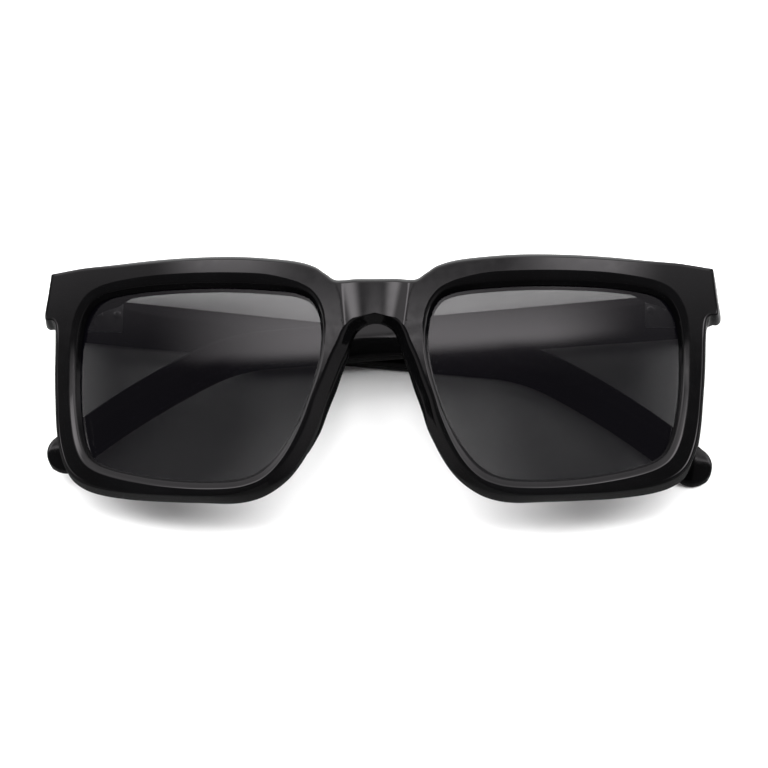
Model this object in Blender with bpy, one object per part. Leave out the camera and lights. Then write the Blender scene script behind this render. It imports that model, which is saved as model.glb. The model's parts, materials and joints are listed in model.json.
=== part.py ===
# Rectangular full-rim sunglasses, folded, lying face up on the folded right temple.
# Left and right are the wearer's: the wearer's left is +X here, and +Y is towards the brow.
# Shapes are first drawn in the front's own frame, whose origin is the middle of the bridge's face,
# then a root empty tilts the whole pair so that the lower temple lies flat on the surface.

import math

import bmesh
import bpy
from mathutils import Matrix, Vector

MM = 0.001

# Lenses and the gap between them
LENS_WIDTH = 53.0 * MM
LENS_HEIGHT = 44.4 * MM
BRIDGE_GAP = 22.9 * MM
LENS_CENTRE_HEIGHT = 2.6 * MM
LENS_THICKNESS = 1.8 * MM
LENS_CROWN = 0.2 * MM
LENS_CLEARANCE = 0.3 * MM

# Rim of the front
FRONT_CURVE_RADIUS = 196.0 * MM
RIM_TOP = 7.0 * MM
RIM_SIDE = 5.7 * MM
RIM_BOTTOM = 4.2 * MM
RIM_NOSE = 2.6 * MM
RIM_DEPTH = 5.4 * MM
BEVEL_WIDTH = 2.3 * MM
BEVEL_NOSE_WIDTH = 0.9 * MM
BEVEL_DEPTH = 2.4 * MM
GROOVE_DEPTH = 0.9 * MM
EDGE_TOP_ROUNDING = 1.6 * MM
EDGE_SIDE_ROUNDING = 0.8 * MM
EDGE_BOTTOM_ROUNDING = 0.6 * MM
BACK_ROUNDING = 0.6 * MM
RIDGE_DROP = 0.1 * MM
LAND_WIDTH = 1.3 * MM
WALL_FLARE = 2.2 * MM

# End pieces and hinges
END_BACK_DEPTH = 20.5 * MM
HINGE_BEYOND_LENS = 3.05 * MM
HINGE_ABOVE_LENS = 0.5 * MM
HINGE_SETBACK = 2.0 * MM
KNUCKLE_RADIUS = 1.4 * MM
KNUCKLE_LENGTH = 1.3 * MM
KNUCKLE_COUNT = 5
HINGE_CLEARANCE = 0.3 * MM
LEAF_THICKNESS = 0.8 * MM
FRONT_LEAF_LENGTH = 4.2 * MM
TEMPLE_LEAF_LENGTH = 10.0 * MM
SCREW_RADIUS = 0.6 * MM
SCREW_HEAD_RADIUS = 1.1 * MM
SCREW_HEAD_HEIGHT = 0.6 * MM
RIVET_RADIUS = 0.5 * MM
RIVET_HEAD_RADIUS = 0.85 * MM
RIVET_HEAD_HEIGHT = 0.35 * MM
RIVET_SHANK = 1.8 * MM
RIVET_CLEARANCE = 0.15 * MM
RIVET_EDGE = 1.1 * MM
FRONT_RIVET_SPACING = 4.2 * MM
TEMPLE_RIVET_SPACING = 4.0 * MM

# Hollow panel across the bridge: its depth and its half width at the lenses' middle and top
SADDLE_DEPTH = 1.2 * MM
SADDLE_LOW_HALF_WIDTH = 5.0 * MM
SADDLE_HIGH_HALF_WIDTH = 7.6 * MM

# Temples, measured along the folded temple from the hinge axis
TEMPLE_STRAIGHT = 92.5 * MM
TEMPLE_BEND_RADIUS = 36.0 * MM
TEMPLE_BEND_ANGLE = math.radians(23.0)
TEMPLE_TIP_LENGTH = 40.0 * MM
TEMPLE_TIP_CURL = math.radians(14.0)
TEMPLE_DROP_ANGLE = math.radians(5.6)
TEMPLE_ROOT_HEIGHT = 9.8 * MM
TEMPLE_WAIST_HEIGHT = 8.4 * MM
TEMPLE_TIP_HEIGHT = 8.6 * MM
TEMPLE_ROOT_THICKNESS = 3.8 * MM
TEMPLE_TIP_THICKNESS = 3.0 * MM
TEMPLE_OFFSET = 2.3 * MM
TEMPLE_ROOT_REACH = 1.7 * MM
TEMPLE_CORNER = 0.9 * MM
CORE_RADIUS = 0.6 * MM
CORE_CLEARANCE = 0.3 * MM
CORE_LENGTH = 110.0 * MM

# Nose pads, seated on the back of the rim
PAD_REACH = 0.3 * MM
PAD_DEPTH = 4.2 * MM
PAD_LAP = 2.6 * MM
PAD_CLEARANCE = 0.3 * MM

# Rest angles of the folded temples against the front's chord
RIGHT_FOLD_ANGLE = math.radians(1.6)
LEFT_FOLD_ANGLE = math.radians(2.9)

# Sides of a temple's section and its core, and of the round pieces
SECTION_SIDES = 12
KNUCKLE_SIDES = 20
SCREW_SIDES = 16
RIVET_SIDES = 12

# Edges sharper than these stay sharp when the shapes are shaded smooth
SHARP_ANGLE = math.radians(35.0)
TEMPLE_SHARP_ANGLE = math.radians(50.0)

# Each row is one station round a lens: the opening's x and y as shares of half its width and
# height about its centre, then the outer edge's x and y. A rim row gives those two as shares of
# the rim widths, from the opening outwards. A bridge row gives x as a share of half the bridge
# gap and y as a share of half the lens height.
BRIDGE_TOP_SHARES = (
    (-0.989, 0.586, 0.00, 0.99),
    (-0.975, 0.649, 0.37, 0.984),
    (-0.949, 0.725, 0.72, 0.97),
    (-0.904, 0.802, 0.94, 1.05),
)
RIM_SHARES = (
    (-0.843, 0.847, -0.92, 0.90),
    (-0.734, 0.887, -0.54, 0.97),
    (-0.526, 0.923, -0.19, 1.01),
    (-0.262, 0.959, 0.00, 1.02),
    (0.058, 0.986, 0.09, 1.01),
    (0.379, 1.000, 0.18, 1.00),
    (0.606, 0.995, 0.61, 1.00),
    (0.768, 0.977, 1.18, 1.03),
    (0.847, 0.950, 1.72, 1.09),
    (0.892, 0.919, 1.82, 1.16),
    (0.926, 0.874, 1.71, 1.11),
    (0.960, 0.797, 1.63, 0.74),
    (0.979, 0.716, 1.61, 0.46),
    (0.987, 0.658, 1.51, 0.47),
    (0.992, 0.613, 1.24, 0.56),
    (0.996, 0.559, 1.09, 0.51),
    (1.000, 0.446, 1.02, 0.29),
    (0.998, 0.218, 0.99, 0.08),
    (0.987, -0.029, 0.96, -0.11),
    (0.960, -0.277, 0.98, -0.30),
    (0.923, -0.477, 0.98, -0.48),
    (0.866, -0.631, 0.93, -0.76),
    (0.783, -0.725, 0.79, -1.00),
    (0.658, -0.797, 0.56, -1.14),
    (0.474, -0.869, 0.18, -1.17),
    (0.228, -0.941, 0.00, -1.05),
    (-0.055, -0.989, 0.00, -0.98),
    (-0.300, -1.000, -0.19, -0.98),
    (-0.443, -0.973, -0.58, -0.86),
    (-0.549, -0.910, -0.85, -0.64),
    (-0.647, -0.802, -1.00, -0.43),
    (-0.745, -0.635, -1.08, -0.19),
    (-0.832, -0.432, -1.00, -0.05),
    (-0.896, -0.230, -0.88, 0.01),
    (-0.949, -0.027, -1.00, 0.00),
)
BRIDGE_ARCH_SHARES = (
    (-0.983, 0.153, 0.75, 0.17),
    (-0.996, 0.270, 0.62, 0.32),
    (-1.000, 0.342, 0.535, 0.43),
    (-1.002, 0.396, 0.41, 0.525),
    (-1.002, 0.441, 0.22, 0.588),
    (-1.000, 0.482, 0.00, 0.61),
    (-0.996, 0.518, 0.00, 0.73),
    (-0.992, 0.554, 0.00, 0.85),
)
# Stations of the end piece, whose back reaches the hinge, as shares of its full depth
END_FIRST_STATION = 10
END_DEPTH_SHARES = (0.35, 1.0, 1.0, 1.0, 1.0, 1.0, 1.0, 0.9, 0.6, 0.25)
# How far the outer wall leans outwards towards its back, as shares of its full flare: first at the
# end piece's side, then round the nose side
END_FLARE_STATION = 13
END_FLARE_SHARES = (0.2, 0.3, 0.3, 0.3, 0.1)
NOSE_FLARE_STATION = 31
NOSE_FLARE_SHARES = (0.15, 0.5, 0.85, 0.95, 0.9, 0.8, 0.75, 0.75, 0.75, 0.7, 0.6, 0.4, 0.2)
# The bevel narrows to the nose: where it starts to, and over how much, as shares of half the width
BEVEL_NARROW_SHARE = 0.55
BEVEL_NARROW_RUN_SHARE = 0.35
# Rows of the face between its ridge and its edge
FACE_ROW_SHARES = (0.12, 0.46, 0.74)
# How much of the edge's rounding the end piece's sharper edge loses
END_SHARPENING_SHARE = 0.5
# Stations that carry the nose pad, with the pad's size at each as shares of its full size
PAD_FIRST_STATION = 35
PAD_SIZE_SHARES = (0.35, 0.8, 1.0, 1.0, 0.85, 0.6, 0.35)
# The pad's section: shares of its reach beyond the wall, or of its lap behind it, and of its depth
PAD_REACH_SHARES = ((0.0, 0.0), (0.8, 0.12), (1.0, 0.35), (0.75, 0.65), (0.3, 0.9))
PAD_LAP_SHARES = ((0.25, 1.0), (0.7, 0.82), (1.0, 0.45), (1.0, 0.0))
# Rings of a lens's face about its middle
LENS_RING_SHARES = (1.0, 0.8, 0.55, 0.3)
# The largest corner of a temple's section, against half its height
CORNER_LIMIT_SHARE = 0.8
# A screw's slot against its head: half its width, its depth and its overrun
SLOT_WIDTH_SHARE = 0.25
SLOT_DEPTH_SHARE = 0.5
SLOT_REACH_SHARE = 1.5
# A rivet's domed head: height of its rim, and radius of its top
RIVET_RIM_SHARE = 0.4
RIVET_TOP_SHARE = 0.6


def clear_scene():
    for item in list(bpy.data.objects):
        bpy.data.objects.remove(item, do_unlink=True)


def make_material(name, colour, roughness, metallic=0.0, alpha=1.0):
    material = bpy.data.materials.new(name)
    material.use_nodes = True
    shader = material.node_tree.nodes["Principled BSDF"]
    shader.inputs["Base Color"].default_value = (*colour, 1.0)
    shader.inputs["Roughness"].default_value = roughness
    shader.inputs["Metallic"].default_value = metallic
    shader.inputs["Alpha"].default_value = alpha
    return material


def gloss_black(name):
    return make_material(name, (0.012, 0.012, 0.014), 0.12)


def steel(name):
    return make_material(name, (0.55, 0.55, 0.56), 0.3, metallic=1.0)


def tinted(name):
    return make_material(name, (0.05, 0.05, 0.055), 0.05, alpha=0.6)


def new_object(name, mesh_or_bmesh, parent, material):
    if isinstance(mesh_or_bmesh, bmesh.types.BMesh):
        mesh = bpy.data.meshes.new(name)
        mesh_or_bmesh.to_mesh(mesh)
        mesh_or_bmesh.free()
    else:
        mesh = mesh_or_bmesh
    item = bpy.data.objects.new(name, mesh)
    bpy.context.collection.objects.link(item)
    item.parent = parent
    mesh.materials.append(material)
    return item


def smooth(item, angle):
    item.data.shade_smooth()
    item.data.set_sharp_from_angle(angle=angle)


def new_empty(name, parent, location):
    empty = bpy.data.objects.new(name, None)
    bpy.context.collection.objects.link(empty)
    empty.parent = parent
    empty.location = location
    return empty


def spline_value(before, start, end, after, share):
    """A Catmull-Rom reading between start and end of four tuples of numbers."""
    square = share * share
    cube = square * share
    reading = []
    for a, b, c, d in zip(before, start, end, after):
        bend = (2.0 * a - 5.0 * b + 4.0 * c - d) * square + (3.0 * b - a - 3.0 * c + d) * cube
        reading.append(b + 0.5 * ((c - a) * share + bend))
    return reading


def between(start, end, share):
    return start + (end - start) * share


def face_height(x):
    """Height of the curved front face at x, zero at the bridge and falling to the sides."""
    return math.sqrt(FRONT_CURVE_RADIUS ** 2 - x * x) - FRONT_CURVE_RADIUS


def lens_middle():
    """Centre of the wearer's left lens opening."""
    return Vector((0.5 * (BRIDGE_GAP + LENS_WIDTH), LENS_CENTRE_HEIGHT))


def saddle_half_width(y):
    """Half the width of the bridge's hollow panel at a height."""
    share = (y - LENS_CENTRE_HEIGHT) / (0.5 * LENS_HEIGHT)
    return between(SADDLE_LOW_HALF_WIDTH, SADDLE_HIGH_HALF_WIDTH, share)


def surface_height(point):
    """Height of the face, with the hollow panel that runs up the middle of the bridge."""
    share = min(1.0, abs(point.x) / saddle_half_width(point.y)) if point.y > LENS_CENTRE_HEIGHT else 1.0
    return face_height(point.x) - SADDLE_DEPTH * (1.0 - share * share)


def edge_rounding(outer_normal, end_share):
    """Radius of the face's outer edge, which depends on the side that it faces."""
    facing = EDGE_TOP_ROUNDING if outer_normal.y > 0.0 else EDGE_BOTTOM_ROUNDING
    rounding = between(EDGE_SIDE_ROUNDING, facing, outer_normal.y ** 2)
    return rounding * (1.0 - END_SHARPENING_SHARE * end_share)


def share_at(number, first, shares):
    """The share that a table, which starts at station first, holds for a station, or zero."""
    place = number - first
    return shares[place] if 0 <= place < len(shares) else 0.0


def station_points():
    """At each station: the opening's and the outer edge's point, bevel, end depth share, flare."""
    centre_x = lens_middle().x
    half_width = 0.5 * LENS_WIDTH
    half_height = 0.5 * LENS_HEIGHT
    rows = [(row, True) for row in BRIDGE_TOP_SHARES]
    rows += [(row, False) for row in RIM_SHARES]
    rows += [(row, True) for row in BRIDGE_ARCH_SHARES]
    stations = []
    for number, ((across, up, out_x, out_y), bridge) in enumerate(rows):
        inner_x = centre_x + across * half_width
        inner_y = LENS_CENTRE_HEIGHT + up * half_height
        if bridge:
            outer_x = out_x * 0.5 * BRIDGE_GAP
            outer_y = LENS_CENTRE_HEIGHT + out_y * half_height
        else:
            outer_x = inner_x + out_x * (RIM_SIDE if out_x > 0.0 else RIM_NOSE)
            outer_y = inner_y + out_y * (RIM_TOP if out_y > 0.0 else RIM_BOTTOM)
        nose_share = min(1.0, max(0.0, (-across - BEVEL_NARROW_SHARE) / BEVEL_NARROW_RUN_SHARE))
        bevel = BEVEL_WIDTH + (BEVEL_NOSE_WIDTH - BEVEL_WIDTH) * nose_share
        end_share = share_at(number, END_FIRST_STATION, END_DEPTH_SHARES)
        flare = share_at(number, END_FLARE_STATION, END_FLARE_SHARES)
        flare += share_at(number, NOSE_FLARE_STATION, NOSE_FLARE_SHARES)
        stations.append((inner_x, inner_y, outer_x, outer_y, bevel, end_share, flare * WALL_FLARE))
    return stations


def reflected(beside, other):
    """A station beside the middle line, with its outer edge as the other half continues it."""
    return (*other[:2], -beside[2], beside[3], *other[4:])


def resample(stations, steps):
    """The stations with more between them on smooth curves; those on the middle line stay on it."""
    result = []
    count = len(stations)
    for index in range(count):
        before, start, end, after = (stations[(index + step) % count] for step in (-1, 0, 1, 2))
        start_on_middle = start[2] == 0.0
        end_on_middle = end[2] == 0.0
        if start_on_middle and not end_on_middle:
            before = reflected(end, before)
        if end_on_middle and not start_on_middle:
            after = reflected(start, after)
        for step in range(steps):
            reading = spline_value(before, start, end, after, step / steps)
            reading[5] = min(1.0, max(0.0, reading[5]))
            reading[6] = max(0.0, reading[6])
            if start_on_middle and (end_on_middle or step == 0):
                reading[2] = 0.0
            result.append(tuple(reading))
    return result


def outward_normals(points, middle_ends):
    """Unit normals of a closed clockwise outline; those at the middle line point straight up or down."""
    count = len(points)
    normals = []
    for index in range(count):
        before, after = points[index - 1], points[(index + 1) % count]
        along = Vector((after[0] - before[0], after[1] - before[1])).normalized()
        normals.append(Vector((-along.y, along.x)))
    for index, direction in middle_ends:
        normals[index] = Vector((0.0, direction))
    return normals


def lens_outline(steps, spread):
    """The opening's outline, moved outwards by spread."""
    stations = resample(station_points(), steps)
    points = [(row[0], row[1]) for row in stations]
    normals = outward_normals(points, ())
    return [Vector(point) + normal * spread for point, normal in zip(points, normals)]


def front_profile(row, inner_normal, outer_normal):
    """The closed section of the rim at one station, as (point, height) from the lens outwards."""
    inner = Vector((row[0], row[1]))
    outer = Vector((row[2], row[3]))
    bevel = row[4]
    ridge = inner + inner_normal * bevel
    rounding = edge_rounding(outer_normal, row[5])
    face_edge = outer - outer_normal * rounding
    lip = face_height(inner.x) - BEVEL_DEPTH
    groove_back = lip - LENS_THICKNESS - 2.0 * LENS_CLEARANCE
    rim_back = face_height(inner.x) - RIM_DEPTH
    outer_rim_back = face_height(outer.x) - RIM_DEPTH
    back = outer_rim_back + (-END_BACK_DEPTH - outer_rim_back) * row[5]
    land = inner + inner_normal * LAND_WIDTH
    land_rim_back = face_height(land.x) - RIM_DEPTH
    land_back = land_rim_back + (-END_BACK_DEPTH - land_rim_back) * row[5]
    diagonal = math.sqrt(0.5)
    face_rows = [ridge + (face_edge - ridge) * share for share in (*FACE_ROW_SHARES, 1.0)]
    edge_mid = outer - outer_normal * rounding * (1.0 - diagonal)
    wall_back = outer + outer_normal * row[6]
    back_edge = wall_back - outer_normal * BACK_ROUNDING
    groove = inner + inner_normal * GROOVE_DEPTH
    edge_top = surface_height(face_edge)
    return [
        (inner, lip),
        (ridge, face_height(ridge.x) - RIDGE_DROP),
        *((place, surface_height(place)) for place in face_rows),
        (edge_mid, edge_top - rounding * (1.0 - diagonal)),
        (outer, edge_top - rounding),
        (wall_back, back + BACK_ROUNDING),
        (back_edge, back),
        (land, land_back),
        (land - inner_normal * 0.5 * (LAND_WIDTH - GROOVE_DEPTH), rim_back),
        (inner, rim_back + 0.5 * BACK_ROUNDING),
        (inner, groove_back),
        (groove, groove_back),
        (groove, lip),
    ]


# Columns of the rim's section that lie between the face's edge and the back's edge
WALL_COLUMNS = (5, 6, 7, 8, 9)


def build_front(steps):
    """The whole front: one half as a ring of sections round its lens, then its mirror image."""
    stations = resample(station_points(), steps)
    count = len(stations)
    middle = [index for index in range(count) if stations[index][2] == 0.0]
    top, arch = 0, min(index for index in middle if index > 0)
    inner_normals = outward_normals([(row[0], row[1]) for row in stations], ())
    ends = ((top, 1.0), (arch, -1.0))
    outer_normals = outward_normals([(row[2], row[3]) for row in stations], ends)
    inside = [index for index in middle if index not in (top, arch)]
    lowest = stations[arch][3] + EDGE_BOTTOM_ROUNDING
    highest = stations[top][3] - EDGE_TOP_ROUNDING
    for index in inside:
        share = (index - arch) / (count - arch)
        stations[index] = (*stations[index][:3], between(lowest, highest, share), *stations[index][4:])
    mesh = bmesh.new()
    grids = []
    for side in (1.0, -1.0):
        grid = []
        for index, row in enumerate(stations):
            normal = outer_normals[index]
            if index in inside:
                normal = Vector((0.0, 0.0))
            profile = front_profile(row, inner_normals[index], normal)
            column = []
            for place, (point, height) in enumerate(profile):
                if index in inside and place in WALL_COLUMNS[1:-1]:
                    column.append(None)
                    continue
                shared = abs(point.x) < 1e-9
                if shared and side < 0.0:
                    column.append(grids[0][index][place])
                else:
                    column.append(mesh.verts.new((side * point.x, point.y, height)))
            grid.append(column)
        grids.append(grid)
        for index in range(count):
            after = (index + 1) % count
            for place in range(len(grid[0])):
                beyond = (place + 1) % len(grid[0])
                corners = [grid[index][place], grid[after][place]]
                corners += [grid[after][beyond], grid[index][beyond]]
                in_middle = index in middle and after in middle
                if in_middle and place in WALL_COLUMNS[:-1]:
                    continue
                mesh.faces.new(corners if side > 0.0 else corners[::-1])
    bmesh.ops.recalc_face_normals(mesh, faces=mesh.faces)
    return mesh


def build_lens(steps):
    """A lens: two curved faces in rings about its centre, closed by its edge."""
    outline = lens_outline(steps, GROOVE_DEPTH - LENS_CLEARANCE)
    centre = lens_middle()
    mesh = bmesh.new()
    top = -BEVEL_DEPTH - LENS_CLEARANCE
    faces = []
    for depth in (top, top - LENS_THICKNESS):
        rings = []
        for share in LENS_RING_SHARES:
            crown = LENS_CROWN * (1.0 - share * share)
            ring = []
            for point in outline:
                place = centre + (point - centre) * share
                ring.append(mesh.verts.new((place.x, place.y, face_height(place.x) + depth + crown)))
            rings.append(ring)
        hub = mesh.verts.new((centre.x, centre.y, face_height(centre.x) + depth + LENS_CROWN))
        faces.append((rings, hub))
    count = len(outline)
    for rings, hub in faces:
        for wide, narrow in zip(rings, rings[1:]):
            for index in range(count):
                after = (index + 1) % count
                mesh.faces.new((wide[index], wide[after], narrow[after], narrow[index]))
        for index in range(count):
            mesh.faces.new((rings[-1][index], rings[-1][(index + 1) % count], hub))
    front_rim, back_rim = faces[0][0][0], faces[1][0][0]
    for index in range(count):
        after = (index + 1) % count
        mesh.faces.new((front_rim[index], front_rim[after], back_rim[after], back_rim[index]))
    bmesh.ops.recalc_face_normals(mesh, faces=mesh.faces)
    return mesh


def close_loft(mesh, sections):
    """Joins equal closed sections into one solid with flat or rounded ends."""
    loops = [[mesh.verts.new(point) for point in section] for section in sections]
    count = len(loops[0])
    for here, there in zip(loops, loops[1:]):
        for index in range(count):
            after = (index + 1) % count
            mesh.faces.new((here[index], here[after], there[after], there[index]))
    mesh.faces.new(loops[0])
    mesh.faces.new(loops[-1])
    bmesh.ops.recalc_face_normals(mesh, faces=mesh.faces)
    return mesh


def build_nose_pad():
    """A pad on the back of the rim's nose side, rounded towards the nose."""
    rows = station_points()
    normals = outward_normals([(row[2], row[3]) for row in rows], ())
    sections = []
    for number, size in enumerate(PAD_SIZE_SHARES):
        row = rows[PAD_FIRST_STATION + number]
        normal = normals[PAD_FIRST_STATION + number]
        edge = Vector((row[2], row[3])) + normal * (row[6] - BACK_ROUNDING)
        seat = face_height(row[2]) - RIM_DEPTH - PAD_CLEARANCE
        section = []
        for across, down in PAD_REACH_SHARES:
            section.append((edge + normal * (PAD_REACH + BACK_ROUNDING) * size * across, down))
        for across, down in PAD_LAP_SHARES:
            section.append((edge - normal * PAD_LAP * across, down))
        sections.append([(point.x, point.y, seat - PAD_DEPTH * size * down) for point, down in section])
    return close_loft(bmesh.new(), sections)


def temple_length():
    return TEMPLE_STRAIGHT + TEMPLE_BEND_RADIUS * TEMPLE_BEND_ANGLE + TEMPLE_TIP_LENGTH


def arc_step(turned, radius, angle):
    """The step along an arc that starts at a downward angle and turns further down by turned."""
    across = radius * (math.sin(angle + turned) - math.sin(angle))
    down = radius * (math.cos(angle) - math.cos(angle + turned))
    return Vector((across, -down))


def temple_axes(along):
    """Centre of the temple and unit vector up its section at a distance from its hinge."""
    bend_run = TEMPLE_BEND_RADIUS * TEMPLE_BEND_ANGLE
    tip_radius = TEMPLE_TIP_LENGTH / TEMPLE_TIP_CURL
    drop = TEMPLE_DROP_ANGLE
    straight = min(along, TEMPLE_STRAIGHT)
    bent = min(max(0.0, along - TEMPLE_STRAIGHT), bend_run) / TEMPLE_BEND_RADIUS
    curled = max(0.0, along - TEMPLE_STRAIGHT - bend_run) / tip_radius
    centre = Vector((straight * math.cos(drop), -straight * math.sin(drop)))
    centre += arc_step(bent, TEMPLE_BEND_RADIUS, drop)
    centre += arc_step(curled, tip_radius, drop + bent)
    # the sections stand upright at the hinge and turn square to the temple along its straight run
    lean = (drop + bent + curled) * min(1.0, max(0.0, along) / TEMPLE_STRAIGHT)
    return centre, Vector((math.sin(lean), math.cos(lean)))


def temple_size(along):
    """Height and thickness of the temple at a distance from its hinge."""
    total = temple_length()
    reached = max(0.0, along)
    thickness = between(TEMPLE_ROOT_THICKNESS, TEMPLE_TIP_THICKNESS, reached / total)
    if reached < TEMPLE_STRAIGHT:
        return between(TEMPLE_ROOT_HEIGHT, TEMPLE_WAIST_HEIGHT, reached / TEMPLE_STRAIGHT), thickness
    tip_share = (reached - TEMPLE_STRAIGHT) / (total - TEMPLE_STRAIGHT)
    return between(TEMPLE_WAIST_HEIGHT, TEMPLE_TIP_HEIGHT, tip_share), thickness


def temple_section(along, shrink):
    """The rounded section of the folded temple: x away from the hinge, y up, z towards the lens."""
    centre, up = temple_axes(along)
    height, thickness = temple_size(along)
    outer_face = -TEMPLE_OFFSET - TEMPLE_ROOT_THICKNESS
    middle = outer_face + 0.5 * thickness
    half_height = 0.5 * height * shrink
    half_thickness = 0.5 * thickness
    corner = min(TEMPLE_CORNER, CORNER_LIMIT_SHARE * half_height)
    points = []
    for quarter in range(4):
        sign_y = 1.0 if quarter in (0, 1) else -1.0
        sign_z = 1.0 if quarter in (0, 3) else -1.0
        for step in range(3):
            turn = math.radians(90.0 * quarter + 45.0 * step)
            y = sign_y * (half_height - corner) + corner * math.sin(turn)
            z = sign_z * (half_thickness - corner) + corner * math.cos(turn)
            place = centre + up * y
            points.append((place.x, place.y, middle + z))
    return points


def temple_stations():
    """Distances along the temple and the height share there, with a rounded tip."""
    total = temple_length()
    tip = 0.5 * TEMPLE_TIP_HEIGHT
    straight = [-TEMPLE_ROOT_REACH, 0.0]
    straight += [TEMPLE_STRAIGHT * step / 6.0 for step in range(1, 7)]
    bend_run = total - TEMPLE_TIP_LENGTH - TEMPLE_STRAIGHT
    bend = [TEMPLE_STRAIGHT + bend_run * step / 5.0 for step in range(1, 6)]
    last = [total - TEMPLE_TIP_LENGTH + (TEMPLE_TIP_LENGTH - tip) * step / 4.0 for step in range(1, 5)]
    stations = [(along, 1.0) for along in straight + bend + last]
    for degrees in (20.0, 40.0, 58.0, 72.0, 82.0):
        turn = math.radians(degrees)
        stations.append((total - tip + tip * math.sin(turn), math.cos(turn)))
    return stations


def core_circle(along, radius):
    """A circle about the temple's middle line, seen along the temple."""
    centre, up = temple_axes(along)
    middle = -TEMPLE_OFFSET - TEMPLE_ROOT_THICKNESS + 0.5 * temple_size(along)[1]
    ring = []
    for step in range(SECTION_SIDES):
        turn = 2.0 * math.pi * step / SECTION_SIDES
        place = centre + up * (radius * math.sin(turn))
        ring.append((place.x, place.y, middle + radius * math.cos(turn)))
    return ring


def core_stations(start, end):
    """Distances along the core or its channel."""
    count = 16
    return [start + (end - start) * step / count for step in range(count + 1)]


def build_temple():
    """The temple with the narrow channel, open at the hinge end, that its wire core fills."""
    mesh = bmesh.new()
    outside = []
    for along, share in temple_stations():
        outside.append([mesh.verts.new(point) for point in temple_section(along, share)])
    channel = []
    for along in core_stations(-TEMPLE_ROOT_REACH, CORE_LENGTH + CORE_CLEARANCE):
        ring = core_circle(along, CORE_RADIUS + CORE_CLEARANCE)
        channel.append([mesh.verts.new(point) for point in ring])
    for loops in (outside, channel):
        for here, there in zip(loops, loops[1:]):
            for index in range(SECTION_SIDES):
                after = (index + 1) % SECTION_SIDES
                mesh.faces.new((here[index], here[after], there[after], there[index]))
    for index in range(SECTION_SIDES):
        after = (index + 1) % SECTION_SIDES
        mesh.faces.new((outside[0][index], outside[0][after], channel[0][after], channel[0][index]))
    mesh.faces.new(outside[-1])
    mesh.faces.new(channel[-1])
    bmesh.ops.recalc_face_normals(mesh, faces=mesh.faces)
    return mesh


def build_core():
    start = -TEMPLE_ROOT_REACH + CORE_CLEARANCE
    sections = [core_circle(along, CORE_RADIUS) for along in core_stations(start, CORE_LENGTH)]
    return close_loft(bmesh.new(), sections)


def turned(profile, sides, place=(0.0, 0.0), upright=False):
    """A turned solid from (radius, height) pairs: along Y about (x, z), or upright about (x, y)."""
    sections = []
    for radius, height in profile:
        ring = []
        for step in range(sides):
            turn = 2.0 * math.pi * (step + 0.5) / sides
            first = place[0] + radius * math.cos(turn)
            second = place[1] + radius * math.sin(turn)
            ring.append((first, second, height) if upright else (first, height, second))
        sections.append(ring)
    return close_loft(bmesh.new(), sections)


def box(low, high):
    mesh = bmesh.new()
    bmesh.ops.create_cube(mesh, size=1.0)
    for vert in mesh.verts:
        vert.co = Vector(b if c > 0.0 else a for a, b, c in zip(low, high, vert.co))
    return mesh


def helper(name, mesh, parent):
    """A cutter or an addition that is used in a Boolean and isn't part of the model."""
    data = bpy.data.meshes.new(name)
    mesh.to_mesh(data)
    mesh.free()
    item = bpy.data.objects.new(name, data)
    bpy.context.collection.objects.link(item)
    item.parent = parent
    item.hide_render = True
    item.display_type = "WIRE"
    return item


def combine(item, other, operation):
    modifier = item.modifiers.new(other.name, "BOOLEAN")
    modifier.operation = operation
    modifier.solver = "EXACT"
    modifier.object = other


def mirrored(mesh):
    """The same shape for the other side."""
    bmesh.ops.transform(mesh, matrix=Matrix.Diagonal((-1.0, 1.0, 1.0, 1.0)), verts=mesh.verts)
    bmesh.ops.reverse_faces(mesh, faces=mesh.faces)
    return mesh


def sided(mesh, left):
    """Shapes are drawn for the wearer's left, at +X."""
    return mesh if left else mirrored(mesh)


def knuckle_spans(front):
    """Low and high ends of the knuckles of one leaf; the front's are the odd ones out."""
    pitch = KNUCKLE_LENGTH + HINGE_CLEARANCE
    total = KNUCKLE_COUNT * pitch - HINGE_CLEARANCE
    spans = []
    for number in range(KNUCKLE_COUNT):
        if (number % 2 == 0) == front:
            low = number * pitch - 0.5 * total
            spans.append((low, low + KNUCKLE_LENGTH))
    return spans, total


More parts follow.
